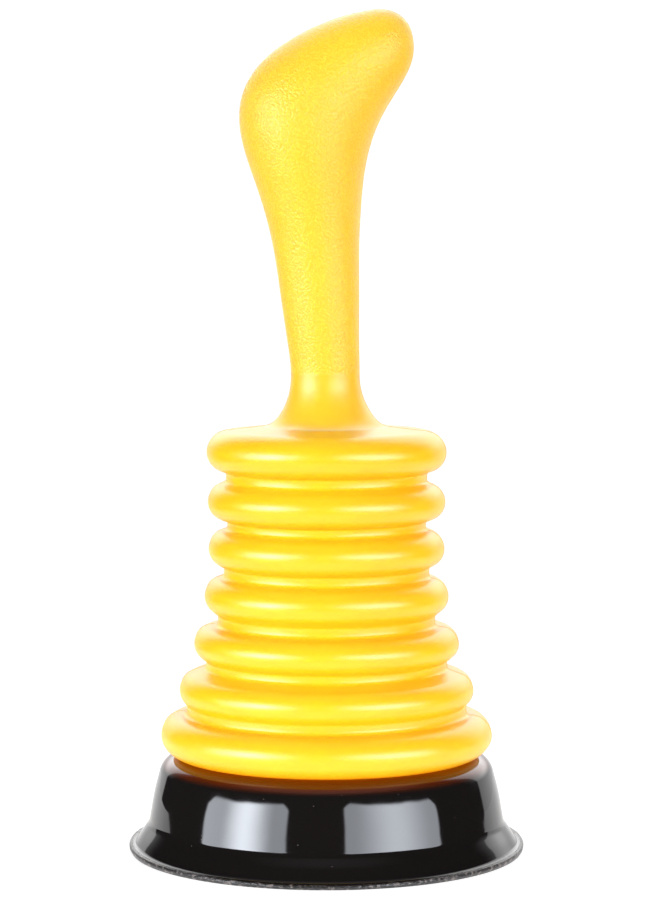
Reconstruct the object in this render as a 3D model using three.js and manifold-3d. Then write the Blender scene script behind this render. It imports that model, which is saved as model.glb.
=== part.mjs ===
// Bellows sink plunger, in millimetres, +Z up. The origin is the centre of the ring that the lip stands on.
// The handle leans towards +X, and the whole part is a mirror image of itself across the plane Y = 0.
//
// From the bottom up it is a stiff-walled black cup with a flared lip, a neck that snaps into the top of the
// cup, seven bellows folds, and a hollow palm grip. The neck, the folds and the grip are one blow moulding.
// The moulding is divided at the root between each two folds, where its wall bends when the handle is pushed.

import * as THREE from "three";
import { mergeVertices } from "three/addons/utils/BufferGeometryUtils.js";
import Module from "manifold-3d";

const wasm = await Module();
wasm.setup();

// ---- Driving dimensions ----

const CLEARANCE = 0.3; // between the moulding and the cup

// Cup
const LIP_RADIUS = 52.5; // outside of the rim round the lip
const LIP_EDGE_HEIGHT = 1.8;
const LIP_FOOT_OUTER = 51.5; // the flat ring that seals against the sink
const LIP_FOOT_INNER = 50.1;
const CUP_TOP = 25.2;
const CUP_PLATE = 2.4; // thickness of the cup's flat top
const CUP_WALL = 2.2;
const CUP_HOLE_RADIUS = 31.3;
const LIP_ROUNDING = 0.4;
const RIM_FOOT = { r: 51, z: 2.1 }; // the flare ends here, against the rim
const RIM_TOP = { r: 51.4, z: 2.4 };
const FLARE_INSIDE_DROP = 1.2; // the flare starts this much lower inside the cup
const FLARE_TOP = { r: 47.6, z: 7.3 }; // the wall sweeps out into the flare between its foot and here
const SWEEP_MIDDLE = { r: 47.15, z: 8.2 };
const WALL_FOOT = { r: 46.9, z: 9.1 };
const WALL_MIDDLE = { r: 45.7, z: 16 };
const SHOULDER_RADIUS = 5.4;
const SHOULDER_CENTRE = { r: 39.1, z: CUP_TOP - SHOULDER_RADIUS };
const SHOULDER_LEAN = THREE.MathUtils.degToRad(20); // the wall meets the shoulder leaning in by this much

// Bellows, top fold first. Each fold has a round crest, and a root of smaller radius below it.
const WALL = 1.7;
const ROOT_HEIGHT = 2.7; // the short straight stretch at each root, centred on rootZ
const DECK_HEIGHT = 112.8; // where the grip stands on the top fold
const DECK_FALL = 1.2; // from there out to the first fold's edge
const FOLDS = [
  { crestR: 31.6, crestZ: 106.0, bulge: 5.3, rootR: 26.5, rootZ: 99.4 },
  { crestR: 31.3, crestZ: 92.8, bulge: 4.8, rootR: 26.2, rootZ: 86.7 },
  { crestR: 31.1, crestZ: 80.4, bulge: 4.9, rootR: 27.1, rootZ: 74.1 },
  { crestR: 32.2, crestZ: 67.8, bulge: 4.9, rootR: 28.7, rootZ: 61.3 },
  { crestR: 35.0, crestZ: 55.2, bulge: 4.5, rootR: 31.9, rootZ: 50.0 },
  { crestR: 38.9, crestZ: 42.8, bulge: 4.7, rootR: 37.0, rootZ: 37.7 },
  { crestR: 43.8, crestZ: 30.9, bulge: 5.4 },
];
const NECK_RADIUS = CUP_HOLE_RADIUS - CLEARANCE;
const NECK_BEAD_RADIUS = 33.6; // snaps under the cup's top
const NECK_BEAD_HEIGHT = 3.4;
const NECK_BEAD_CHAMFER = 0.5;
const NECK_END_RADIUS = NECK_RADIUS + 0.4; // the bead tapers down to this

// Grip
const FLARE_RADIUS = 18.3; // the grip's foot widens down to the deck along this arc
const GRIP_NECK_Z = 126;
const GRIP_NECK_RADIUS = 8.95;
const GRIP_NECK_X = -0.3;
const GRIP_FLATNESS = 0.95; // depth over width at the palm
const PALM_Z = 190; // the grip reaches its full flatness here
// Side outline of the grip, from the neck up its palm side to the tip, and up its finger side to the same tip.
const PALM_SIDE = [
  [-10.2, 135], [-12.1, 148], [-14.4, 162], [-18.6, 176.5], [-22.1, 187.5],
  [-22.2, 199], [-15.7, 209.2], [-10.4, 213.1], [-2, 217.5], [9.4, 221.3], [17, 221.4],
];
const FINGER_SIDE = [
  [8.5, 135], [8.5, 147], [8.5, 159], [9, 170.5], [10.2, 181],
  [12.9, 190.5], [17, 198.3], [20.9, 204.8], [22.6, 209.6], [22.6, 213.8],
];
const TIP = [20.9, 218.3];

// Fineness
const SEGMENTS = 32; // around the yellow moulding, with corners on the X and Y axes
const CUP_SEGMENTS = 40;
const CREST_STEPS = 4; // along each fold's crest
const GRIP_STEPS = 18; // sections up the grip

// ---- Materials ----

const yellow = () => new THREE.MeshStandardMaterial({ color: 0xfbd922, roughness: 0.3, metalness: 0 });
const black = () => new THREE.MeshStandardMaterial({ color: 0x17161a, roughness: 0.12, metalness: 0 });

// ---- Profile helpers: a profile is a list of Vector2 with x the radius and y the height ----

const point = (r, z) => new THREE.Vector2(r, z);

// Points on a circle, from one angle to another, both included.
function arc(centreR, centreZ, radius, from, to, steps) {
  return Array.from({ length: steps + 1 }, (_, i) => {
    const angle = from + ((to - from) * i) / steps;
    return point(centreR + radius * Math.cos(angle), centreZ + radius * Math.sin(angle));
  });
}

// Angle on a circle where the straight line from a point outside touches it. side is 1 or -1.
function tangentAngle(centre, radius, from, side) {
  const toPoint = from.clone().sub(centre);
  return Math.atan2(toPoint.y, toPoint.x) + side * Math.acos(Math.min(1, radius / toPoint.length()));
}

// Turns a closed profile about Z. The profile runs down the outside and up the inside.
function turned(profile, segments = SEGMENTS) {
  const closed = [...profile, profile[0]].reverse();
  return new THREE.LatheGeometry(closed, segments).rotateX(Math.PI / 2);
}

function named(name, geometry, material) {
  const mesh = new THREE.Mesh(geometry, material);
  mesh.name = name;
  return mesh;
}

// ---- Cup ----

function cup() {
  const { r: centreR, z: centreZ } = SHOULDER_CENTRE;
  const outside = [
    point(CUP_HOLE_RADIUS, CUP_TOP),
    ...arc(centreR, centreZ, SHOULDER_RADIUS, Math.PI / 2, SHOULDER_LEAN, 5),
    point(WALL_MIDDLE.r, WALL_MIDDLE.z),
    point(WALL_FOOT.r, WALL_FOOT.z),
    point(SWEEP_MIDDLE.r, SWEEP_MIDDLE.z),
    point(FLARE_TOP.r, FLARE_TOP.z),
    point(RIM_FOOT.r, RIM_FOOT.z),
    point(RIM_TOP.r, RIM_TOP.z),
    point(LIP_RADIUS - LIP_ROUNDING, LIP_EDGE_HEIGHT + LIP_ROUNDING),
    point(LIP_RADIUS, LIP_EDGE_HEIGHT),
    point(LIP_FOOT_OUTER, 0),
  ];
  const inside = [
    point(LIP_FOOT_INNER, 0),
    point(WALL_FOOT.r - CUP_WALL, FLARE_TOP.z - FLARE_INSIDE_DROP),
    point(WALL_MIDDLE.r - CUP_WALL, WALL_MIDDLE.z),
    ...arc(centreR, centreZ, SHOULDER_RADIUS - CUP_PLATE, SHOULDER_LEAN, Math.PI / 2, 3),
    point(CUP_HOLE_RADIUS, CUP_TOP - CUP_PLATE),
  ];
  return named("cup", turned([...outside, ...inside], CUP_SEGMENTS), black());
}

// ---- Bellows ----

const BELLOWS_BOTTOM = FOLDS.at(-1).crestZ - FOLDS.at(-1).bulge;

// How a belly runs into a root: the corner at the root's straight stretch, and the angle on the belly at which
// the flank from that corner touches it. side is 1 for the root below the belly and -1 for the one above it.
function flank(centre, radius, rootR, rootZ, side) {
  const corner = point(rootR, rootZ + (side * ROOT_HEIGHT) / 2);
  if (corner.distanceTo(centre) > radius) {
    return { corner: [corner], angle: tangentAngle(centre, radius, corner, side) };
  }
  // The belly covers the corner, so it ends where it meets the straight stretch itself.
  const across = rootR - centre.x;
  return { corner: [], angle: Math.atan2(-side * Math.sqrt(radius ** 2 - across ** 2), across) };
}

// One fold's outer line or inner line, from the top down. inset moves the line into the wall.
function foldLine(index, inset) {
  const { crestR, crestZ, bulge, rootR, rootZ } = FOLDS[index];
  const above = FOLDS[index - 1];
  const centre = point(crestR - bulge, crestZ);
  const radius = bulge - inset;
  let from = Math.PI / 2;
  let to = -Math.PI / 2;
  const start = [];
  const end = [];
  if (above) {
    const { corner, angle } = flank(centre, radius, above.rootR - inset, above.rootZ, -1);
    start.push(point(above.rootR - inset, above.rootZ), ...corner);
    from = angle;
  }
  if (rootR) {
    const { corner, angle } = flank(centre, radius, rootR - inset, rootZ, 1);
    end.push(...corner, point(rootR - inset, rootZ));
    to = angle;
  }
  return [...start, ...arc(centre.x, centre.y, radius, from, to, CREST_STEPS), ...end];
}

function fold(index) {
  const outside = foldLine(index, 0);
  const inside = foldLine(index, WALL);
  if (index === 0) {
    const footR = flareRadius(DECK_HEIGHT);
    const deckEdge = point(outside[0].x, DECK_HEIGHT - DECK_FALL);
    outside.splice(0, 1, point(footR - WALL, DECK_HEIGHT), point(footR, DECK_HEIGHT), deckEdge);
    inside.splice(0, 1, point(footR - WALL, DECK_HEIGHT - WALL), point(deckEdge.x, deckEdge.y - WALL));
  }
  if (index === FOLDS.length - 1) {
    outside.push(point(NECK_RADIUS - WALL, BELLOWS_BOTTOM));
    inside.push(point(NECK_RADIUS - WALL, BELLOWS_BOTTOM + WALL));
  }
  return named(`bellows_fold_${index + 1}`, turned([...outside, ...inside.reverse()]), yellow());
}

// The short neck below the last fold, with the bead that holds it in the cup.
function neck() {
  const beadTop = CUP_TOP - CUP_PLATE - CLEARANCE;
  const beadBottom = beadTop - NECK_BEAD_HEIGHT;
  const profile = [
    point(NECK_RADIUS, BELLOWS_BOTTOM),
    point(NECK_RADIUS, beadTop),
    point(NECK_BEAD_RADIUS - NECK_BEAD_CHAMFER, beadTop),
    point(NECK_BEAD_RADIUS, beadTop - NECK_BEAD_CHAMFER),
    point(NECK_END_RADIUS, beadBottom),
    point(NECK_RADIUS - WALL, beadBottom),
    point(NECK_RADIUS - WALL, BELLOWS_BOTTOM),
  ];
  return named("bellows_neck", turned(profile), yellow());
}

// ---- Grip ----

function flareRadius(z) {
  const rise = GRIP_NECK_Z - z;
  return GRIP_NECK_RADIUS + FLARE_RADIUS - Math.sqrt(FLARE_RADIUS ** 2 - rise ** 2);
}

const outlineCurve = (points) => new THREE.SplineCurve(points.map(([x, z]) => new THREE.Vector2(x, z)));

// Cross sections up the grip. Each has a middle, the direction across it in the plane Y = 0, and two half sizes.
function gripSections() {
  const foot = [0, 0.25, 0.5, 0.75].map((share) => {
    const z = DECK_HEIGHT + share * (GRIP_NECK_Z - DECK_HEIGHT);
    const x = GRIP_NECK_X * share;
    return { middle: point(x, z), across: point(1, 0), halfWidth: flareRadius(z), halfDepth: flareRadius(z) };
  });
  const neckLeft = [GRIP_NECK_X - GRIP_NECK_RADIUS, GRIP_NECK_Z];
  const neckRight = [GRIP_NECK_X + GRIP_NECK_RADIUS, GRIP_NECK_Z];
  const palm = outlineCurve([neckLeft, ...PALM_SIDE, TIP]);
  const finger = outlineCurve([neckRight, ...FINGER_SIDE, TIP]);
  const grip = Array.from({ length: GRIP_STEPS + 1 }, (_, i) => {
    const share = i / GRIP_STEPS;
    const left = palm.getPointAt(share);
    const right = finger.getPointAt(share);
    const middle = left.clone().add(right).multiplyScalar(0.5);
    const halfWidth = left.distanceTo(right) / 2;
    const across = halfWidth > 0 ? right.clone().sub(left).normalize() : point(1, 0);
    const flattening = THREE.MathUtils.smoothstep(middle.y, GRIP_NECK_Z, PALM_Z);
    const halfDepth = halfWidth * THREE.MathUtils.lerp(1, GRIP_FLATNESS, flattening);
    return { middle, across, halfWidth, halfDepth };
  });
  return [...foot, ...grip];
}

// A turned stack of unit discs whose rings are moved onto the sections. The first ring is closed by a flat disc.
function lofted(sections, inset) {
  const rings = sections.map((section) => ({
    ...section,
    halfWidth: Math.max(section.halfWidth - inset, 0),
    halfDepth: Math.max(section.halfDepth - inset, 0),
  }));
  const profile = [point(0, 0), ...rings.map((ring, i) => point(ring.halfWidth > 0 ? 1 : 0, i + 1))];
  const geometry = new THREE.LatheGeometry(profile, SEGMENTS);
  const position = geometry.getAttribute("position");
  for (let i = 0; i < position.count; i++) {
    const level = i % profile.length;
    const ring = rings[Math.max(level - 1, 0)];
    const size = level === 0 ? 0 : 1;
    const alongX = position.getX(i) * ring.halfWidth * size;
    const alongY = position.getZ(i) * ring.halfDepth * size;
    position.setXYZ(i, ring.middle.x + ring.across.x * alongX, -alongY, ring.middle.y + ring.across.y * alongX);
  }
  return geometry;
}

const MERGE_DISTANCE = 1e-4;

function solid(geometry) {
  const bare = geometry.clone();
  bare.deleteAttribute("normal");
  bare.deleteAttribute("uv");
  const merged = mergeVertices(bare, MERGE_DISTANCE);
  return new wasm.Manifold(
    new wasm.Mesh({
      numProp: 3,
      vertProperties: merged.getAttribute("position").array,
      triVerts: new Uint32Array(merged.index.array),
    }),
  );
}

function geometryOf(manifold) {
  const mesh = manifold.getMesh();
  const geometry = new THREE.BufferGeometry();
  geometry.setAttribute("position", new THREE.BufferAttribute(mesh.vertProperties, 3));
  geometry.setIndex(new THREE.BufferAttribute(mesh.triVerts, 1));
  geometry.computeVertexNormals();
  return geometry;
}

function grip() {
  const sections = gripSections();
  const outer = solid(lofted(sections, 0));
  // The hollow starts below the foot, so that it opens at the deck, and stops short of the tip.
  const below = { ...sections[0], middle: point(0, DECK_HEIGHT - WALL) };
  const hollow = [below, ...sections].filter((section) => section.halfWidth > 2 * WALL);
  const last = hollow.at(-1);
  hollow.push({ ...last, halfWidth: WALL, halfDepth: WALL });
  const inner = solid(lofted(hollow, WALL));
  return named("grip", geometryOf(outer.subtract(inner)), yellow());
}

// ---- The whole plunger ----

const plunger = new THREE.Group();
plunger.add(cup(), neck(), ...FOLDS.map((_, index) => fold(index)), grip());

export default plunger;
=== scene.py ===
import math

import bmesh
import bpy
import numpy as np
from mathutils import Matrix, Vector, noise


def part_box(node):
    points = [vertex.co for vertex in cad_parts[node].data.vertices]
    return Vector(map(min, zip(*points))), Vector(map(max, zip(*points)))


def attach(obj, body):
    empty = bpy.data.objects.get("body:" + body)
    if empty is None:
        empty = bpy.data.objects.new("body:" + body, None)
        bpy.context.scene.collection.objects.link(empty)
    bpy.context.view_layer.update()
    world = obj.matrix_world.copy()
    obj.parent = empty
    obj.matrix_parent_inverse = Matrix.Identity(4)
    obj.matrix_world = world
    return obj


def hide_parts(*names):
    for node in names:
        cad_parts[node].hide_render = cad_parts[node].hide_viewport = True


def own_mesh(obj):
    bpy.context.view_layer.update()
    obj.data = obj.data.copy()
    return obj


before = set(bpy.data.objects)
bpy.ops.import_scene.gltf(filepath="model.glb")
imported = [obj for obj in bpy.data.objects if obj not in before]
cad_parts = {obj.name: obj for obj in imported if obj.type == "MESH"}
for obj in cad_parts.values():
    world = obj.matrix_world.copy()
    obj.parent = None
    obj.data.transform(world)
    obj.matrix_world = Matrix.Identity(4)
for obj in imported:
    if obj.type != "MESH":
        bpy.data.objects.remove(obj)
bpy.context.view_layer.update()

# Bellows sink plunger, in metres. The design sizes below are in millimetres, as in the CAD source, and
# skin() turns them into metres with MM. Each piece stands for the CAD node of nearly the same name.

MM = 0.001

# ---- Bellows: crest radius, crest height, belly radius, root radius below. Top fold first ----

FOLDS = [
    (31.6, 106.0, 5.3, 26.5),
    (31.3, 92.8, 4.8, 26.2),
    (31.1, 80.4, 4.9, 27.1),
    (32.2, 67.8, 4.9, 28.7),
    (35.0, 55.2, 4.5, 31.9),
    (38.9, 42.8, 4.7, 37.0),
    (43.8, 30.9, 5.4, None),
]
WALL = 1.7
ROOT_HEIGHT = 2.7  # the short straight stretch at each root
ROOT_FILLET = 1.1  # where it turns into the folds above and below
INNER_FILLET = 1.2  # the same turn on the inside of the wall
DECK_FALL = 1.2  # from the grip's foot to the edge of the top fold
DECK_ROUNDING = 6.4  # how far in from the crest the top fold starts to turn down
NECK_RADIUS = 31.0
NECK_LEDGE = 2  # how far the lowest fold's underside stops outside the neck
BEAD_RADIUS = 33.6  # the bead snaps under the cup's top plate
BEAD_CLEARANCE = 0.3
BEAD_TAPER = 0.4  # how far the bead's lower end stands out from the neck
BELLOWS_COLUMNS = 208  # points round each fold and the neck
FOLD_STEPS = 28  # steps round each belly

# ---- Cup ----

CUP_WALL = 2.2
CUP_PLATE = 2.4
CUP_HOLE = 31.3
SHOULDER_RADIUS = 5.4
SHOULDER_REACH = 39.1  # radius at which the shoulder starts to turn down
SHOULDER_LEAN = math.radians(20)
WALL_POINTS = [(45.7, 16.0), (47.1, 7.75)]
WALL_BEND = 55  # the wall bends this gently at the first of those points
SWEEP = 4.5  # and sweeps out into the lip's flare with this radius at the second
WALL_INSIDE_FOOT = (44.7, 6.1)
LIP_RADIUS = 52.5
RIM_FOOT = (51.0, 1.95)  # the flare ends here, against the rim
RIM_TOP = 2.35
RIM_TILT = 0.95  # the rim is trimmed a little higher at the back than at the front
LIP_FOOT = (51.5, 50.1)  # outer and inner radius of the ring it stands on
LIP_UNEVEN = 0.1  # the trimmed edge is uneven by this much
FLARE_STEPS = 6
CUP_COLUMNS = 360

# ---- Grip ----

FOOT_ARC = 18.3  # the flared foot follows this arc
FOOT_FILLET = 5.5
NECK_Z = 126.0
NECK_SIZE = 8.95
NECK_X = -0.3
GRIP_FLATNESS = 0.95
PALM_Z = 190.0
TIP = (20.9, 218.3)
GRIP_COLUMNS = 264
GRIP_RINGS = 236
INNER_RINGS = 30
INNER_FOOT_RINGS = 8
PALM_SIDE = [
    (-10.2, 135), (-12.1, 148), (-14.4, 162), (-18.6, 176.5), (-22.1, 187.5),
    (-22.2, 199), (-15.7, 209.2), (-10.4, 213.1), (-2, 217.5), (9.4, 220.95), (17, 221.05),
]
FINGER_SIDE = [
    (8.5, 135), (8.5, 147), (8.5, 159), (9, 170.5), (10.2, 181),
    (12.9, 190.5), (17, 198.3), (20.9, 204.8), (22.6, 209.6), (22.6, 213.8),
]

# ---- Surface detail ----

SEAM_HEIGHT = 0.13  # the mould's parting line, a fine ridge in the plane Y = 0
SEAM_WIDTH = 0.22
GRIP_SEAM_RADIUS = 14  # the grip's usual radius, which spaces the points beside the line
GRAIN_CELL = 1.15  # the pebbles in the mesh
FINE_GRAIN_CELL = 0.52  # the finer ones on them, in the material
GRAIN_HEIGHT = 0.015
GRAIN_END = 126.8  # the grain stops here, above the grip's foot
LOWEST_FOLD = (27.0, 29.0)  # a painted glow on the yellow underside stands for light shining through it, from here down
SHOULDER_TINT = (22.0, 24.2)  # and a painted reflection of the yellow moulding makes the cup's shoulder brown from here up

# ---- View and studio. Directions are degrees of azimuth round from the camera, and of elevation ----

TURN = math.radians(5.5)  # the camera stands this far round from the front, towards +X
CAMERA_DISTANCE = 0.8
CAMERA_HEIGHT = 0.1673
CAMERA_ASIDE = 0.00095
CAMERA_PITCH = math.radians(4.36)
CAMERA_LENS = 121.6
LEFT_BOX, LEFT_WIDTH = -55.8, 62.5  # middle and width of each softbox
RIGHT_BOX, RIGHT_WIDTH = 45, 68
LEFT_BULB, LEFT_SPREAD, LEFT_STRENGTH = -54, 20, 14.0  # the brighter middle of each
RIGHT_BULB, RIGHT_SPREAD, RIGHT_STRENGTH = 46, 30, 6.4
RIGHT_EVEN = 5.6  # strength of the right one away from its middle
BOX_ELEVATION = 8.2  # middle of both softboxes
BOX_HEIGHT = 22.5
BOX_SLANT = 0.13  # they lie lower further from the camera, by this share
SLANT_START = 52
CORNER_CUT = 0.6  # share of the height that is cut off their corners
LEFT_FADE = (-75, -42, 7.6, 5.9)  # azimuths between which the left one weakens, and its strengths there
BOX_COLOUR = (0.93, 0.985, 1.07, 1.0)
BACK_MIDDLE = 7.5  # the wall's middle is this far from straight behind
WALL_EDGE = (45.5, 47.5)  # the wall fades out this far to each side of its middle
WALL_TOP = (55, 70)
CEILING = (45, 65, 0.02, 0.3)  # elevations between which it brightens, and from what to what
GLOW_STRENGTH = 1.6
GLOW_SPREAD = (20, 60)
GLOW_BOTTOM = (3, 14)
GLOW_TOP = (45, 65)
FLOOR_EMISSION = 0.86
FLOOR_RADIUS = 0.3  # in metres


# ======== Mesh helpers ========

def smoothstep(value, low, high):
    t = np.clip((value - low) / (high - low), 0, 1)
    return t * t * (3 - 2 * t)


def arc(centre, radius, start, stop, steps, squeeze=1.0):
    """Points on an arc from one angle to another. squeeze scales the height of the arc."""
    angles = np.linspace(start, stop, steps + 1)
    return [(centre[0] + radius * math.cos(a), centre[1] + squeeze * radius * math.sin(a)) for a in angles]


def fillet(before, corner, after, radius, steps=6):
    """The arc that rounds a corner of an outline."""
    b, c, a = (np.array(p, float) for p in (before, corner, after))
    to_b, to_a = (b - c) / np.linalg.norm(b - c), (a - c) / np.linalg.norm(a - c)
    half = math.acos(np.clip(to_b @ to_a, -1, 1)) / 2
    middle = c + (to_b + to_a) / np.linalg.norm(to_b + to_a) * radius / math.sin(half)
    start, stop = c + to_b * radius / math.tan(half) - middle, c + to_a * radius / math.tan(half) - middle
    first, last = math.atan2(start[1], start[0]), math.atan2(stop[1], stop[0])
    turn = (last - first + math.pi) % (2 * math.pi) - math.pi
    return arc(middle, radius, first, first + turn, steps)


def rounded(points, radii, steps=6):
    """An open outline with its inner corners rounded. A radius of 0 keeps a corner sharp."""
    line = [points[0]]
    for before, corner, after, radius in zip(points, points[1:], points[2:], radii):
        line += fillet(before, corner, after, radius, steps) if radius else [corner]
    return line + [points[-1]]


def tangent_angle(centre, radius, start, side):
    """The angle on a circle where the straight line from a point outside touches it."""
    x, z = start[0] - centre[0], start[1] - centre[1]
    return math.atan2(z, x) + side * math.acos(min(1.0, radius / math.hypot(x, z)))


def columns(count, seam_radius):
    """Angles round a piece, with extra ones beside the parting line."""
    beside = [s * SEAM_WIDTH / seam_radius * k for k in (0.4, 0.8, 1.3, 2.2) for s in (-1, 1)]
    even = 2 * math.pi * np.arange(count) / count
    extra = np.array([side + b for side in (0, math.pi) for b in beside]) % (2 * math.pi)
    return np.sort(np.concatenate([even, extra]))


def seam_ridge(across):
    """Height of the parting line at a distance from the plane Y = 0."""
    return SEAM_HEIGHT * np.exp(-((across / SEAM_WIDTH) ** 2))


def skin(name, grid, closed, sharp_rows=()):
    """A closed mesh from a grid of points, one row per ring. closed joins the last ring to the first, and an
    open grid is closed at both ends by a fan of triangles."""
    rows, around = grid.shape[:2]
    vertices = grid.reshape(-1, 3)
    ring = np.arange(around)
    following = (ring + 1) % around
    faces = []
    for row in range(rows if closed else rows - 1):
        below, above = row * around, (row + 1) % rows * around
        faces += np.stack([below + ring, below + following, above + following, above + ring], 1).tolist()
    if not closed:
        vertices = np.concatenate([vertices, grid[:1].mean(1), grid[-1:].mean(1)])
        start, end, last = rows * around, rows * around + 1, (rows - 1) * around
        faces += np.stack([np.full(around, start), following, ring], 1).tolist()
        faces += np.stack([np.full(around, end), last + ring, last + following], 1).tolist()
    mesh = bpy.data.meshes.new(name)
    mesh.from_pydata((vertices * MM).tolist(), [], faces)
    outward = bmesh.new()
    outward.from_mesh(mesh)
    bmesh.ops.recalc_face_normals(outward, faces=outward.faces)
    outward.to_mesh(mesh)
    outward.free()
    mesh.polygons.foreach_set("use_smooth", np.ones(len(mesh.polygons), bool))
    ends = np.zeros(len(mesh.edges) * 2, int)
    mesh.edges.foreach_get("vertices", ends)
    row_of = ends.reshape(-1, 2) // around
    sharp = (row_of[:, 0] == row_of[:, 1]) & np.isin(row_of[:, 0], sharp_rows)
    mesh.attributes.new("sharp_edge", "BOOLEAN", "EDGE").data.foreach_set("value", sharp)
    piece = bpy.data.objects.new(name, mesh)
    bpy.context.scene.collection.objects.link(piece)
    return piece


def turned(name, outside, inside, angles, seam=True, roughen=None, lift=None):
    """A piece turned about Z. outside runs down and inside up, and both their ends are sharp edges. roughen
    moves the outside along its normal and lift moves a point upwards."""
    profile = np.array(outside + inside, float)
    slope = np.gradient(np.array(outside, float), axis=0)
    normal = np.zeros_like(profile)
    normal[:len(outside)] = np.stack([-slope[:, 1], slope[:, 0]], 1) / np.linalg.norm(slope, axis=1)[:, None]
    radius, height = profile[:, :1], profile[:, 1:]
    push = seam_ridge(np.abs(radius * np.sin(angles))) if seam else np.zeros((len(profile), len(angles)))
    if roughen:
        push = push + roughen(radius, height, angles)
    reach = radius + normal[:, :1] * push
    level = height + normal[:, 1:] * push
    if lift:
        level = level + lift(radius, height, angles)
    grid = np.stack([reach * np.cos(angles), reach * np.sin(angles), level], 2)
    corners = [0, len(outside) - 1, len(outside), len(profile) - 1]
    return skin(name, grid, True, corners)


# ======== Bellows ========

def flank(centre, radius, edge, root_z, side, soft):
    """How a belly runs into the straight wall of a root. Gives the angle at which the belly ends, and the
    rounded corner from the wall towards it. side is 1 for the root below the belly, -1 for the one above."""
    corner = (edge, root_z + side * ROOT_HEIGHT / 2)
    straight = math.sqrt(max(math.dist(corner, centre) ** 2 - radius**2, 0))
    if straight > 1.5 * soft:
        angle = tangent_angle(centre, radius, corner, side)
        touch = (centre[0] + radius * math.cos(angle), centre[1] + radius * math.sin(angle))
        return angle, fillet((edge, root_z), corner, touch, soft)
    # With no room for a straight flank, the corner's arc touches both the wall and the belly.
    across = edge + soft - centre[0]
    rise = -side * math.sqrt((radius + soft) ** 2 - across**2)
    angle = math.atan2(rise, across)
    return angle, arc((edge + soft, centre[1] + rise), soft, math.pi, math.pi + angle, 6)[:-1]


def fold_line(index, inset):
    """A fold's outer or inner line, from the top down. inset moves the line into the wall."""
    crest, middle, belly, root = FOLDS[index]
    bottom, top = (corner.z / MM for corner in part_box(f"bellows_fold_{index + 1}"))
    centre, radius = (crest - belly, middle), belly - inset
    soft = INNER_FILLET if inset else ROOT_FILLET
    start, stop = math.pi / 2, -math.pi / 2
    upper, lower = [], []
    if index > 0:
        edge = FOLDS[index - 1][3] - inset
        start, bend = flank(centre, radius, edge, top, -1, soft)
        upper = [(edge, top), *bend]
    elif inset:
        upper = [(foot_radius(top) - inset, top - inset)]
    else:
        upper = deck_line(crest, middle, top)
        start = 0
    if root:
        stop, bend = flank(centre, radius, root - inset, bottom, 1, soft)
        lower = [*reversed(bend), (root - inset, bottom)]
    elif inset:
        lower = [(NECK_RADIUS - inset, bottom + inset)]
    else:
        lower = [(NECK_RADIUS + NECK_LEDGE, bottom), (NECK_RADIUS - WALL, bottom)]
    return upper + arc(centre, radius, start, stop, FOLD_STEPS) + lower


def deck_line(crest, middle, top):
    """The gently sloping deck round the grip's foot and the top fold's rounded edge, down to its crest."""
    foot = foot_radius(top)
    edge = (crest - DECK_ROUNDING, top - DECK_FALL)
    deck = [(foot + (edge[0] - foot) * k / 8, top - DECK_FALL * k / 8) for k in range(8)]
    squeeze = (edge[1] - middle) / DECK_ROUNDING
    shoulder = arc((edge[0], middle), DECK_ROUNDING, math.pi / 2, 0, 14, squeeze)
    return [(foot - WALL, top), *deck, *shoulder[:-1]]


def fold_piece(index):
    node = f"bellows_fold_{index + 1}"
    outside, inside = fold_line(index, 0), fold_line(index, WALL)[::-1]
    piece = turned(f"{node}_moulding", outside, inside, columns(BELLOWS_COLUMNS, FOLDS[index][0]))
    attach(piece, f"fold_{index + 1}")
    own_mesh(piece)
    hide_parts(node)
    return piece


def neck_piece():
    low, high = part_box("bellows_neck")
    top, bottom = high.z / MM, low.z / MM
    bead_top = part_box("cup")[1].z / MM - CUP_PLATE - BEAD_CLEARANCE
    corners = [
        (NECK_RADIUS, top), (NECK_RADIUS, bead_top), (BEAD_RADIUS, bead_top),
        (NECK_RADIUS + BEAD_TAPER, bottom), (NECK_RADIUS - WALL, bottom),
    ]
    outside = rounded(corners, [0.2, 0.6, 0.4], 4)
    inside = [(NECK_RADIUS - WALL, bottom + 0.4), (NECK_RADIUS - WALL, top)]
    piece = turned("bellows_neck_moulding", outside, inside, columns(BELLOWS_COLUMNS, NECK_RADIUS))
    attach(piece, "cup")
    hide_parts("bellows_neck")
    return piece


# ======== Cup ========

def lip_roughness(radius, height, angles):
    """The trimmed edge of the lip is a little uneven."""
    on_edge = (radius > RIM_FOOT[0] + 0.15) & (height > 0.2)
    uneven = np.array([
        noise.noise(Vector((math.cos(a) * 40, math.sin(a) * 40, 0.0))) * 0.6
        + noise.noise(Vector((math.cos(a) * 110, math.sin(a) * 110, 5.0))) * 0.4
        for a in angles
    ])
    return np.where(on_edge, LIP_UNEVEN * uneven, 0.0) - np.where(on_edge, LIP_UNEVEN, 0.0)


def rim_lift(radius, height, angles):
    """How far the rim rises towards the back and sinks towards the front."""
    share = smoothstep(radius, RIM_FOOT[0] - 2, RIM_FOOT[0]) * smoothstep(height, 0.3, 1.8)
    return share * RIM_TILT * np.sin(angles - TURN)


def straight(start, stop, steps):
    """Evenly spaced points from start to stop, without start itself."""
    (r, z), (end_r, end_z) = start, stop
    return [(r + (end_r - r) * k / steps, z + (end_z - z) * k / steps) for k in range(1, steps + 1)]


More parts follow.
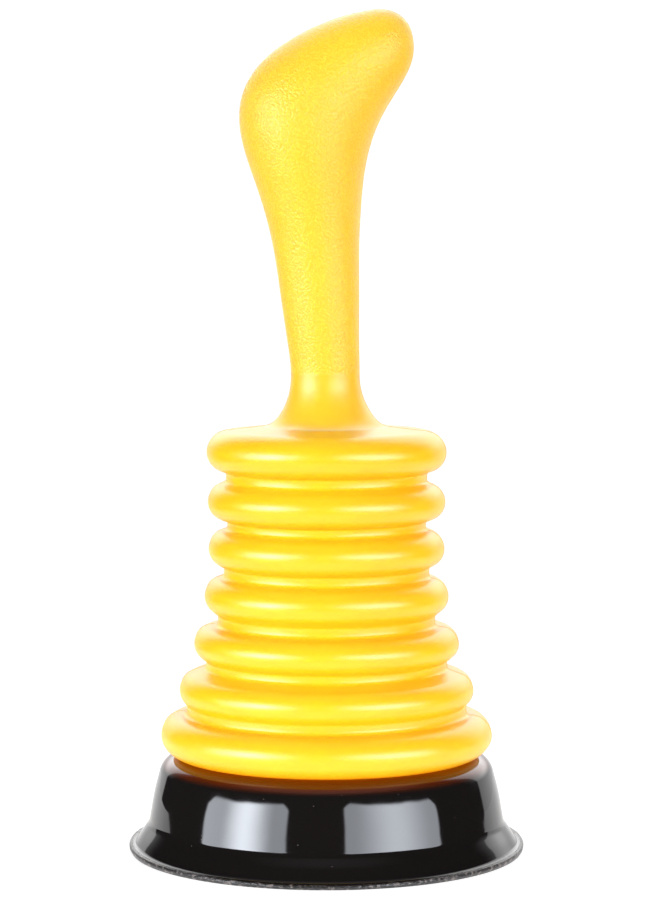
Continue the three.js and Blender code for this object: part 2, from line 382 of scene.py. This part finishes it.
def cup_piece():
    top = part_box("cup")[1].z / MM
    centre = (SHOULDER_REACH, top - SHOULDER_RADIUS)
    shoulder = arc(centre, SHOULDER_RADIUS, math.pi / 2, SHOULDER_LEAN, 20)
    wall = rounded([shoulder[-1], *WALL_POINTS, RIM_FOOT], [WALL_BEND, SWEEP], 10)
    flare = straight(wall[-2], RIM_FOOT, FLARE_STEPS)
    rim = rounded([
        RIM_FOOT, (RIM_FOOT[0] + 0.22, RIM_TOP), (LIP_RADIUS - 0.2, RIM_TOP - 0.1),
        (LIP_RADIUS, RIM_TOP - 0.7), (LIP_RADIUS - 0.1, 0.8), (LIP_FOOT[0] + 0.3, 0.0), (LIP_FOOT[1], 0.0),
    ], [0.12, 0.3, 0.4, 0.6, 0.25], 4)
    outside = [(CUP_HOLE, top - 0.35), (CUP_HOLE + 0.1, top - 0.1), (CUP_HOLE + 0.35, top)]
    outside += shoulder[:-1] + wall[:-1] + flare + rim[1:]
    inner_shoulder = arc(centre, SHOULDER_RADIUS - CUP_PLATE, SHOULDER_LEAN, math.pi / 2, 10)
    inner_wall = (WALL_POINTS[0][0] - CUP_WALL, WALL_POINTS[0][1])
    inside = [WALL_INSIDE_FOOT, inner_wall, *inner_shoulder, (CUP_HOLE, top - CUP_PLATE)]
    angles = 2 * math.pi * np.arange(CUP_COLUMNS) / CUP_COLUMNS
    piece = turned("cup_moulding", outside, inside, angles, seam=False, roughen=lip_roughness, lift=rim_lift)
    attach(piece, "cup")
    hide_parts("cup")
    return piece


# ======== Grip ========

def foot_radius(z):
    """Radius of the grip's flared foot at a height."""
    return NECK_SIZE + FOOT_ARC - math.sqrt(FOOT_ARC**2 - (NECK_Z - z) ** 2)


def clamped_spline(points, start_slope, end_slope, samples):
    """Points along a smooth cubic curve through the given ones, evenly spaced in its parameter."""
    p = np.array(points, float)
    step = np.linalg.norm(np.diff(p, axis=0), axis=1)
    at = np.concatenate([[0], np.cumsum(step)])
    n = len(p)
    matrix, right = np.zeros((n, n)), np.zeros((n, 2))
    matrix[0, 0], matrix[-1, -1] = 1, 1
    right[0], right[-1] = start_slope, end_slope
    for i in range(1, n - 1):
        a, b = step[i - 1], step[i]
        matrix[i, i - 1:i + 2] = b, 2 * (a + b), a
        right[i] = 3 * (b * (p[i] - p[i - 1]) / a + a * (p[i + 1] - p[i]) / b)
    slope = np.linalg.solve(matrix, right)
    t = np.linspace(0, at[-1], samples)
    k = np.clip(np.searchsorted(at, t, side="right") - 1, 0, n - 2)
    h = step[k][:, None]
    u = ((t - at[k]) / step[k])[:, None]
    return (
        (1 + 2 * u) * (1 - u) ** 2 * p[k] + u * (1 - u) ** 2 * h * slope[k]
        + u * u * (3 - 2 * u) * p[k + 1] + u * u * (u - 1) * h * slope[k + 1]
    )


def side_lines(steps):
    """The palm side and the finger side of the grip, as evenly spaced points from the neck to the tip."""
    neck_left, neck_right = (NECK_X - NECK_SIZE, NECK_Z), (NECK_X + NECK_SIZE, NECK_Z)
    whole = [neck_left, *PALM_SIDE, TIP, *reversed(FINGER_SIDE), neck_right]
    line = clamped_spline(whole, (0, 1), (0, -1), 6000)
    tip = int(np.argmin(np.linalg.norm(line - np.array(TIP), axis=1)))
    sides = []
    for side in (line[:tip + 1], line[tip:][::-1]):
        along = np.concatenate([[0], np.cumsum(np.linalg.norm(np.diff(side, axis=0), axis=1))])
        even = np.linspace(0, along[-1], steps + 1)
        sides.append(np.stack([np.interp(even, along, side[:, k]) for k in (0, 1)], 1))
    return sides


def grip_sections(steps, inset=0.0):
    """Rings up the grip: middle, direction across, half width and half depth of each."""
    palm, finger = side_lines(steps)
    middle = (palm + finger) / 2
    across = finger - palm
    width = np.linalg.norm(across, axis=1)
    across[:-1] /= width[:-1, None]
    flat = 1 + (GRIP_FLATNESS - 1) * smoothstep(middle[:, 1], NECK_Z, PALM_Z)
    half = width / 2
    keep = half > max(2 * inset, 0.12)
    return middle[keep], across[keep], half[keep] - inset, (half * flat)[keep] - inset


def section_grid(middle, across, half_width, half_depth, angles):
    x = np.outer(half_width, np.cos(angles))
    y = np.outer(half_depth, np.sin(angles))
    return np.stack([middle[:, :1] + across[:, :1] * x, y, middle[:, 1:] + across[:, 1:] * x], 2)


def foot_line(deck):
    """Radius and height up the grip's flared foot, from the deck to the neck."""
    heights = np.linspace(deck, NECK_Z, 30)[::-1]
    flare = [(foot_radius(z), z) for z in heights]
    corner = flare[-1]
    slope = DECK_FALL * FOOT_FILLET / (FOLDS[0][0] - DECK_ROUNDING - corner[0])
    end = (corner[0] + FOOT_FILLET, deck - slope)
    line = rounded([flare[-6], corner, end], [FOOT_FILLET], 8)
    return (flare[:-6] + line[:-1])[::-1]


def grid_normals(grid):
    along = np.gradient(grid, axis=0)
    around = np.roll(grid, -1, 1) - np.roll(grid, 1, 1)
    normal = np.cross(around, along)
    return normal / np.maximum(np.linalg.norm(normal, axis=2, keepdims=True), 1e-9)


def pebbles(points):
    """Height of the moulded grain at each point, from 0 in the creases to 1 on the pebbles."""
    heights = np.empty(len(points))
    for i, point in enumerate(points / GRAIN_CELL):
        near = noise.voronoi(Vector(point))[0]
        heights[i] = min(1.0, (near[1] - near[0]) * 2.2)
    return heights


def grip_piece():
    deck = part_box("grip")[0].z / MM
    angles = columns(GRIP_COLUMNS, GRIP_SEAM_RADIUS)
    foot = np.array(foot_line(deck))
    centre = np.stack([NECK_X * smoothstep(foot[:, 1], deck, NECK_Z), foot[:, 1]], 1)
    level = np.tile([1.0, 0.0], (len(foot), 1))
    foot_grid = section_grid(centre, level, foot[:, 0], foot[:, 0], angles)
    shaft = section_grid(*grip_sections(GRIP_RINGS), angles)
    outer = np.concatenate([foot_grid[:-1], shaft])
    normals = grid_normals(outer)
    on_grain = smoothstep(outer[..., 2], GRAIN_END - 0.8, GRAIN_END + 0.8)
    grain = np.zeros(outer.shape[:2])
    rough = on_grain > 0
    grain[rough] = pebbles(outer[rough])
    push = GRAIN_HEIGHT * (grain - 0.5) * on_grain + seam_ridge(outer[..., 1])
    outer = outer + normals * push[..., None]
    inner_foot_z = np.linspace(deck, NECK_Z, INNER_FOOT_RINGS)
    inner_foot_r = np.array([foot_radius(z) - WALL for z in inner_foot_z])
    inner_centre = np.stack([np.zeros(INNER_FOOT_RINGS), inner_foot_z], 1)
    inner_level = np.tile([1.0, 0.0], (INNER_FOOT_RINGS, 1))
    inner_foot = section_grid(inner_centre, inner_level, inner_foot_r, inner_foot_r, angles)
    inner = np.concatenate([inner_foot[:-1], section_grid(*grip_sections(INNER_RINGS, WALL), angles)])
    grid = np.concatenate([inner[::-1], outer])
    piece = skin("grip_moulding", grid, False, [len(inner) - 1, len(inner)])
    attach(piece, "grip")
    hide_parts("grip")
    return piece


# ======== Materials ========

class Graph:
    """Short ways to add shader nodes to a tree."""

    def __init__(self, tree):
        self.tree = tree
        tree.nodes.clear()

    def add(self, kind, inputs=None, **settings):
        node = self.tree.nodes.new(kind)
        for name, value in settings.items():
            setattr(node, name, value)
        for name, value in (inputs or {}).items():
            if isinstance(value, bpy.types.NodeSocket):
                self.tree.links.new(value, node.inputs[name])
            else:
                node.inputs[name].default_value = value
        return node

    def math(self, operation, *values):
        return self.add("ShaderNodeMath", dict(enumerate(values)), operation=operation).outputs[0]

    def ramp(self, value, low, high, start=0.0, stop=1.0):
        """A smooth step from start to stop as value goes from low to high."""
        inputs = {"Value": value, "From Min": low, "From Max": high, "To Min": start, "To Max": stop}
        return self.add("ShaderNodeMapRange", inputs, interpolation_type="SMOOTHSTEP").outputs[0]

    def mix(self, share, first, second):
        node = self.add("ShaderNodeMix", data_type="RGBA")
        for socket, value in ((0, share), (6, first), (7, second)):
            if isinstance(value, bpy.types.NodeSocket):
                self.tree.links.new(value, node.inputs[socket])
            else:
                node.inputs[socket].default_value = value
        return node.outputs[2]

    def noise(self, place, scale, detail=2.0, roughness=0.5):
        inputs = {"Vector": place, "Scale": scale, "Detail": detail, "Roughness": roughness}
        return self.add("ShaderNodeTexNoise", inputs).outputs["Fac"]

    def bump(self, height, distance, strength=1.0, normal=None):
        inputs = {"Height": height, "Distance": distance, "Strength": strength}
        if normal:
            inputs["Normal"] = normal
        return self.add("ShaderNodeBump", inputs).outputs[0]


def new_material(name):
    material = bpy.data.materials.new(name)
    material.use_nodes = True
    graph = Graph(material.node_tree)
    place = graph.add("ShaderNodeTexCoord").outputs["Object"]
    shader = graph.add("ShaderNodeBsdfPrincipled")
    output = graph.add("ShaderNodeOutputMaterial")
    material.node_tree.links.new(shader.outputs[0], output.inputs["Surface"])
    return material, graph, place, shader


YELLOW = (0.95, 0.515, 0.008, 1.0)
YELLOW_DEEP = (0.94, 0.495, 0.007, 1.0)
YELLOW_SEAM = (0.55, 0.25, 0.003, 1.0)
# painted shade: the next colour darkens the grain's creases as if they were shaded
YELLOW_CREASE_SHADE = (0.92, 0.48, 0.003, 1.0)
YELLOW_PEBBLE = (0.96, 0.59, 0.014, 1.0)
SHINE_THROUGH = (1.0, 0.2, 0.0, 1.0)
BLACK = (0.006, 0.0047, 0.0044, 1.0)
DUST = (0.10, 0.085, 0.07, 1.0)
RIM_BLACK = (0.012, 0.0095, 0.009, 1.0)
RIM_GRIT = (0.20, 0.165, 0.15, 1.0)
# painted reflection: brown that stands for the yellow moulding mirrored in the cup's shoulder
SHOULDER_REFLECTION_BROWN = (0.085, 0.013, 0.0006, 1.0)


def yellow_plastic(name, grain):
    """Blow-moulded polyethylene: slightly uneven colour and gloss, and a fine parting line. grain adds the
    grip's pebbled texture above the foot, with painted shade in the creases between the pebbles. A faint
    emission on the lowest underside is a painted glow that stands for light shining through the thin wall."""
    material, graph, place, shader = new_material(name)
    links = material.node_tree.links
    _, y, z = graph.add("ShaderNodeSeparateXYZ", {"Vector": place}).outputs
    cloud = graph.noise(place, 45.0, 3.0)
    colour = graph.mix(graph.ramp(cloud, 0.35, 0.65), YELLOW, YELLOW_DEEP)
    from_seam = graph.math("ABSOLUTE", y)
    seam = graph.ramp(from_seam, 0.00008, 0.00026, 0.75, 0.0)
    colour = graph.mix(seam, colour, YELLOW_SEAM)
    waviness = graph.noise(place, 130.0, 1.0)
    normal = graph.bump(waviness, 0.00006)
    fine = graph.noise(place, 2600.0, 2.0)
    if grain:
        edge = graph.math("MULTIPLY", graph.noise(place, 420.0, 2.0), 0.0016)
        level = graph.math("SUBTRACT", z, edge)
        grained = graph.ramp(level, (GRAIN_END - 1.3) * MM, (GRAIN_END - 0.3) * MM)
        cell_inputs = {"Vector": place, "Scale": 1.0 / (FINE_GRAIN_CELL * MM)}
        cells = graph.add("ShaderNodeTexVoronoi", cell_inputs, feature="SMOOTH_F1").outputs["Distance"]
        texture = graph.math("MULTIPLY", cells, grained)
        normal = graph.bump(texture, -0.00022, 1.0, normal)
        # painted shade: the creases between the pebbles are coloured darker than the pebbles
        crease_shade = graph.math("MULTIPLY", graph.ramp(cells, 0.22, 0.5, 0.0, 0.7), grained)
        colour = graph.mix(graph.math("MULTIPLY", grained, 0.85), colour, YELLOW_PEBBLE)
        colour = graph.mix(crease_shade, colour, YELLOW_CREASE_SHADE)
        matt = graph.ramp(grained, 0.0, 1.0, 0.38, 0.42)
        rough = graph.math("ADD", matt, graph.math("MULTIPLY", fine, 0.05))
    else:
        matt = graph.ramp(cloud, 0.3, 0.7, 0.29, 0.32)
        rough = graph.math("ADD", matt, graph.math("MULTIPLY", fine, 0.04))
    facing = graph.add("ShaderNodeNewGeometry").outputs["Normal"]
    facing_up = graph.add("ShaderNodeSeparateXYZ", {"Vector": facing}).outputs[2]
    # painted glow: an emission on the lowest fold's underside stands for light shining through the wall
    underside = graph.ramp(graph.math("MULTIPLY", facing_up, -1.0), 0.65, 1.0, 0.0, 0.5)
    lowest = graph.ramp(z, LOWEST_FOLD[0] * MM, LOWEST_FOLD[1] * MM, 1.0, 0.0)
    links.new(graph.math("MULTIPLY", underside, lowest), shader.inputs["Emission Strength"])
    shader.inputs["Emission Color"].default_value = SHINE_THROUGH
    shader.inputs["Sheen Weight"].default_value = 0.3 if grain else 0.0
    shader.inputs["Sheen Roughness"].default_value = 0.45
    links.new(colour, shader.inputs["Base Color"])
    links.new(rough, shader.inputs["Roughness"])
    links.new(normal, shader.inputs["Normal"])
    shader.inputs["IOR"].default_value = 1.56
    shader.inputs["Subsurface Weight"].default_value = 0.35
    shader.inputs["Subsurface Radius"].default_value = (1.0, 0.3, 0.03)
    shader.inputs["Subsurface Scale"].default_value = 0.0015
    return material


def black_plastic(name):
    """Glossy black moulding with slightly wavy reflections, a few dust specks, and a duller trimmed lip edge.
    The brown on the shoulder is a painted reflection of the yellow moulding above it."""
    material, graph, place, shader = new_material(name)
    links = material.node_tree.links
    x, y, z = graph.add("ShaderNodeSeparateXYZ", {"Vector": place}).outputs
    smear = graph.noise(place, 90.0, 4.0, 0.6)
    specks = graph.add("ShaderNodeTexVoronoi", {"Vector": place, "Scale": 520.0}).outputs
    dust = graph.math("MULTIPLY", graph.ramp(specks["Distance"], 0.05, 0.09, 1.0, 0.0),
                      graph.ramp(graph.noise(place, 160.0, 1.0), 0.55, 0.62))
    from_axis = graph.add("ShaderNodeCombineXYZ", {"X": x, "Y": y}).outputs[0]
    reach = graph.add("ShaderNodeVectorMath", {0: from_axis}, operation="LENGTH").outputs["Value"]
    trimmed = graph.ramp(reach, (RIM_FOOT[0] + 0.35) * MM, (RIM_FOOT[0] + 0.6) * MM)
    grit = graph.ramp(graph.noise(place, 900.0, 3.0), 0.5, 0.68)
    colour = graph.mix(dust, BLACK, DUST)
    rim_colour = graph.mix(grit, RIM_BLACK, RIM_GRIT)
    colour = graph.mix(graph.math("MULTIPLY", trimmed, 0.9), colour, rim_colour)
    # painted reflection: the shoulder below the bellows is coloured brown as if it mirrored the yellow
    # underside
    painted_reflection = graph.ramp(z, SHOULDER_TINT[0] * MM, SHOULDER_TINT[1] * MM)
    colour = graph.mix(painted_reflection, colour, SHOULDER_REFLECTION_BROWN)
    gloss = graph.ramp(smear, 0.3, 0.75, 0.035, 0.075)
    rough = graph.math("ADD", gloss, graph.math("MULTIPLY", trimmed, 0.25))
    wavy = graph.noise(place, 110.0, 1.5)
    normal = graph.bump(wavy, 0.00005)
    ragged = graph.math("MULTIPLY", graph.noise(place, 1500.0, 3.0), trimmed)
    normal = graph.bump(ragged, 0.0002, 1.0, normal)
    links.new(colour, shader.inputs["Base Color"])
    links.new(rough, shader.inputs["Roughness"])
    links.new(normal, shader.inputs["Normal"])
    shader.inputs["IOR"].default_value = 1.5
    return material


# ======== Studio ========

def white_floor():
    mesh = bpy.data.meshes.new("floor")
    disc = bmesh.new()
    bmesh.ops.create_circle(disc, cap_ends=True, segments=96, radius=FLOOR_RADIUS)
    disc.to_mesh(mesh)
    disc.free()
    floor = bpy.data.objects.new("floor", mesh)
    bpy.context.scene.collection.objects.link(floor)
    material, graph, place, shader = new_material("floor_white")
    tone = graph.mix(graph.noise(place, 2.0), (0.36, 0.36, 0.36, 1), (0.34, 0.34, 0.34, 1))
    material.node_tree.links.new(tone, shader.inputs["Base Color"])
    shader.inputs["Roughness"].default_value = 1.0
    shader.inputs["Specular IOR Level"].default_value = 0.0
    shader.inputs["Emission Color"].default_value = (1, 1, 1, 1)
    shader.inputs["Emission Strength"].default_value = FLOOR_EMISSION
    mesh.materials.append(material)


def studio_light():
    """Two softboxes beside the camera, a white wall and a soft glow behind the object, and a dim ceiling, all
    far away. They light the object and show in its gloss. The camera itself sees plain white behind it."""
    world = bpy.data.worlds.new("studio")
    bpy.context.scene.world = world
    world.use_nodes = True
    graph = Graph(world.node_tree)
    links = world.node_tree.links
    direction = graph.add("ShaderNodeTexCoord").outputs["Generated"]
    turned_round = graph.add(
        "ShaderNodeVectorRotate", {"Vector": direction, "Axis": (0, 0, 1), "Angle": -TURN}
    ).outputs[0]
    side, away, up = graph.add("ShaderNodeSeparateXYZ", {"Vector": turned_round}).outputs
    towards = graph.math("MULTIPLY", away, -1.0)
    azimuth = graph.math("MULTIPLY", graph.math("ARCTAN2", side, towards), 180 / math.pi)
    elevation = graph.math("MULTIPLY", graph.math("ARCSINE", up), 180 / math.pi)
    from_back = graph.math("SUBTRACT", 180.0, graph.math("ABSOLUTE", graph.math("ADD", azimuth, BACK_MIDDLE)))

    def octagon(az_middle, width):
        """1 inside a softbox with cut corners, 0 outside."""
        across = graph.math("ABSOLUTE", graph.math("SUBTRACT", azimuth, az_middle))
        past_start = graph.math("SUBTRACT", graph.math("ABSOLUTE", azimuth), SLANT_START)
        sink = graph.math("MULTIPLY", past_start, BOX_SLANT)
        lifted = graph.math("ADD", elevation, sink)
        upwards = graph.math("ABSOLUTE", graph.math("SUBTRACT", lifted, BOX_ELEVATION))
        corner = graph.math("ADD", across, graph.math("MULTIPLY", upwards, 1.2))
        in_width = graph.ramp(across, width / 2 - 2, width / 2, 1, 0)
        in_height = graph.ramp(upwards, BOX_HEIGHT / 2 - 2, BOX_HEIGHT / 2, 1, 0)
        cut = width / 2 + CORNER_CUT * BOX_HEIGHT
        cut_off = graph.ramp(corner, cut - 7, cut - 5, 1, 0)
        return graph.math("MULTIPLY", graph.math("MULTIPLY", in_width, in_height), cut_off)

    def bulb(az, spread):
        """The brighter middle of a softbox."""
        return graph.ramp(graph.math("ABSOLUTE", graph.math("SUBTRACT", azimuth, az)), 0, spread, 1, 0)

    left_middle = graph.math("MULTIPLY", bulb(LEFT_BULB, LEFT_SPREAD), LEFT_STRENGTH)
    left_shine = graph.math("ADD", left_middle, graph.ramp(azimuth, *LEFT_FADE))
    right_middle = graph.math("MULTIPLY", bulb(RIGHT_BULB, RIGHT_SPREAD), RIGHT_STRENGTH)
    right_shine = graph.math("ADD", right_middle, RIGHT_EVEN)
    left = graph.math("MULTIPLY", octagon(LEFT_BOX, LEFT_WIDTH), left_shine)
    right = graph.math("MULTIPLY", octagon(RIGHT_BOX, RIGHT_WIDTH), right_shine)
    boxes = graph.math("ADD", left, right)
    behind = graph.ramp(from_back, *WALL_EDGE, 1.0, 0.0)
    wall = graph.math("MULTIPLY", behind, graph.ramp(elevation, *WALL_TOP, 1.0, 0.0))
    ceiling = graph.ramp(elevation, *CEILING)
    glow_top = graph.ramp(elevation, *GLOW_TOP, 1.0, 0.0)
    glow_height = graph.math("MULTIPLY", graph.ramp(elevation, *GLOW_BOTTOM), glow_top)
    glow = graph.math("MULTIPLY", graph.ramp(from_back, *GLOW_SPREAD, GLOW_STRENGTH, 0.0), glow_height)
    plain = graph.math("ADD", graph.math("ADD", wall, ceiling), glow)
    box_light = graph.add("ShaderNodeBackground", {"Color": BOX_COLOUR, "Strength": boxes})
    plain_light = graph.add("ShaderNodeBackground", {"Color": (1, 1, 1, 1), "Strength": plain})
    lights = graph.add("ShaderNodeAddShader", {0: box_light.outputs[0], 1: plain_light.outputs[0]})
    white = graph.add("ShaderNodeBackground", {"Color": (1, 1, 1, 1), "Strength": 1.05})
    seen = graph.add("ShaderNodeLightPath").outputs["Is Camera Ray"]
    chosen = graph.add("ShaderNodeMixShader", {0: seen, 1: lights.outputs[0], 2: white.outputs[0]})
    output = graph.add("ShaderNodeOutputWorld")
    links.new(chosen.outputs[0], output.inputs["Surface"])


def photo_camera():
    data = bpy.data.cameras.new("camera")
    data.lens = CAMERA_LENS
    camera = bpy.data.objects.new("camera", data)
    bpy.context.scene.collection.objects.link(camera)
    back = Vector((math.sin(TURN), -math.cos(TURN), 0))
    right = Vector((math.cos(TURN), math.sin(TURN), 0))
    camera.location = back * CAMERA_DISTANCE + right * CAMERA_ASIDE + Vector((0, 0, CAMERA_HEIGHT))
    camera.rotation_euler = (math.pi / 2 - CAMERA_PITCH, 0, TURN)
    bpy.context.scene.camera = camera


# ======== The scene ========

photo_camera()
white_floor()
studio_light()
bpy.context.scene.view_settings.view_transform = "Standard"

bellows_yellow = yellow_plastic("bellows_yellow", grain=False)
grip_yellow = yellow_plastic("grip_yellow", grain=True)
cup_black = black_plastic("cup_black")

for fold_index in range(len(FOLDS)):
    fold = fold_piece(fold_index)
    fold.data.materials.append(bellows_yellow)

neck = neck_piece()
neck.data.materials.append(bellows_yellow)

cup = cup_piece()
cup.data.materials.append(cup_black)

grip = grip_piece()
grip.data.materials.append(grip_yellow)
